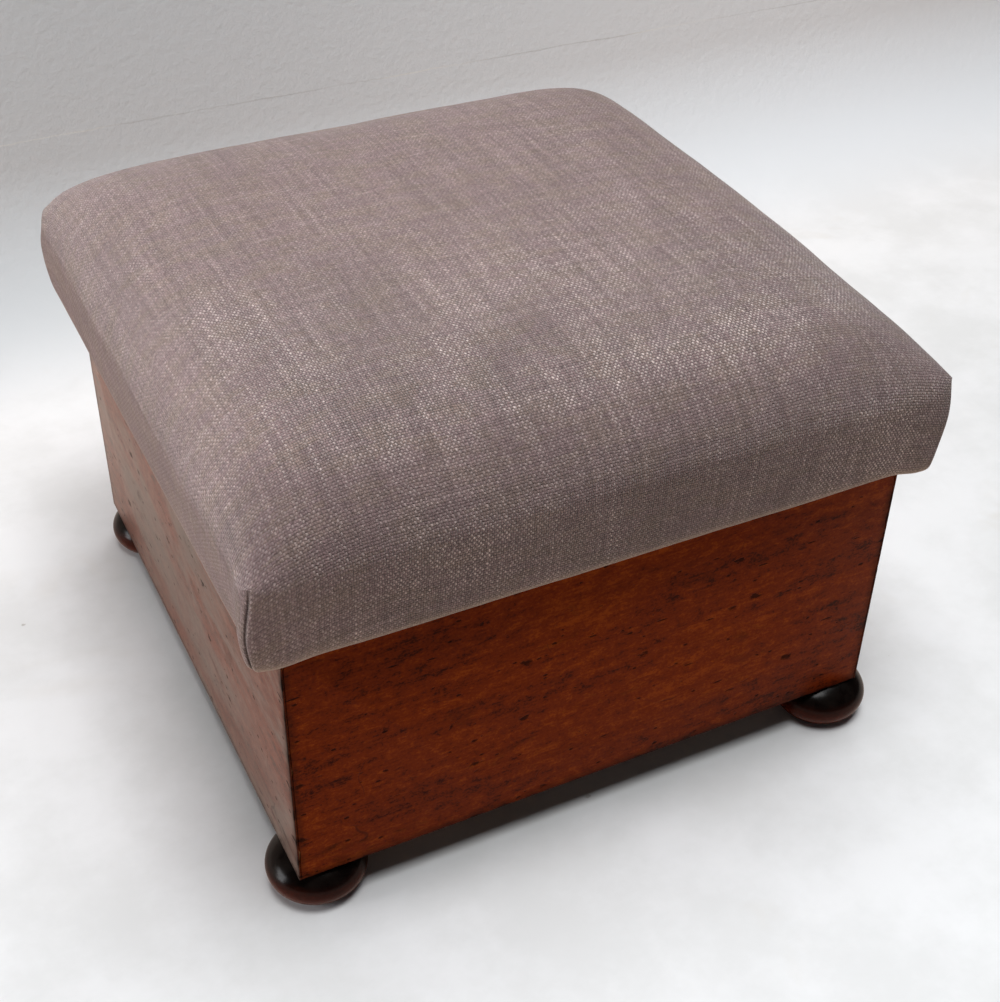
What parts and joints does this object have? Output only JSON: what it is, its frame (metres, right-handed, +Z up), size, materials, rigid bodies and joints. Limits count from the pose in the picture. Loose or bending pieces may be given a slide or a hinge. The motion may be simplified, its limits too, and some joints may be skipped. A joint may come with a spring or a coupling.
{
  "type": "storage stool",
  "caption": "Square storage stool: veneered wooden box on bun feet, with a padded, cloth-covered lid hinged along its back edge.",
  "frame": {"origin": "on the floor, under the middle of the stool", "axes": "+Z up; the front face looks along -Y and the hinged edge of the lid is at +Y; +X to the right seen from the front"},
  "size_m": [0.503, 0.503, 0.371],
  "materials": {
    "pine": "bare, aged, matt",
    "mahogany": "red-brown veneer, worn satin polish",
    "dark_turning": "turned, stained nearly black, polished",
    "woven_cloth": "coarse plain weave, matt, grey-mauve with light slubs",
    "padding": "soft foam and wadding, matt",
    "lining_cloth": "thin plain lining, matt",
    "brass": "rolled, dulled with age",
    "steel": "plain, slightly tarnished"
  },
  "bodies": {
    "box": {"front_board": "pine", "front_veneer": "mahogany", "back_board": "pine", "back_veneer": "mahogany", "left_board": "pine", "left_veneer": "mahogany", "right_board": "pine", "right_veneer": "mahogany", "base_board": "pine", "front_left_block": "pine", "front_left_foot": "dark_turning", "front_right_block": "pine", "front_right_foot": "dark_turning", "back_left_block": "pine", "back_left_foot": "dark_turning", "back_right_block": "pine", "back_right_foot": "dark_turning", "left_hinge_box_leaf": "brass", "left_hinge_box_screw_1": "steel", "left_hinge_box_screw_2": "steel", "left_hinge_box_screw_3": "steel", "left_hinge_pin": "steel", "right_hinge_box_leaf": "brass", "right_hinge_box_screw_1": "steel", "right_hinge_box_screw_2": "steel", "right_hinge_box_screw_3": "steel", "right_hinge_pin": "steel"},
    "lid": {"lid_board": "pine", "foam_pad": "padding", "wadding": "padding", "seat_cover": "woven_cloth", "lid_lining": "lining_cloth", "left_hinge_lid_leaf": "brass", "left_hinge_lid_screw_1": "steel", "left_hinge_lid_screw_2": "steel", "left_hinge_lid_screw_3": "steel", "right_hinge_lid_leaf": "brass", "right_hinge_lid_screw_1": "steel", "right_hinge_lid_screw_2": "steel", "right_hinge_lid_screw_3": "steel"}
  },
  "joints": [
    {"name": "lid_hinge", "type": "hinge", "parent": "box", "child": "lid", "pos_m": [0, 0.2328, 0.2435], "axis": [-1, 0, 0], "range_deg": [0, 110]}
  ]
}
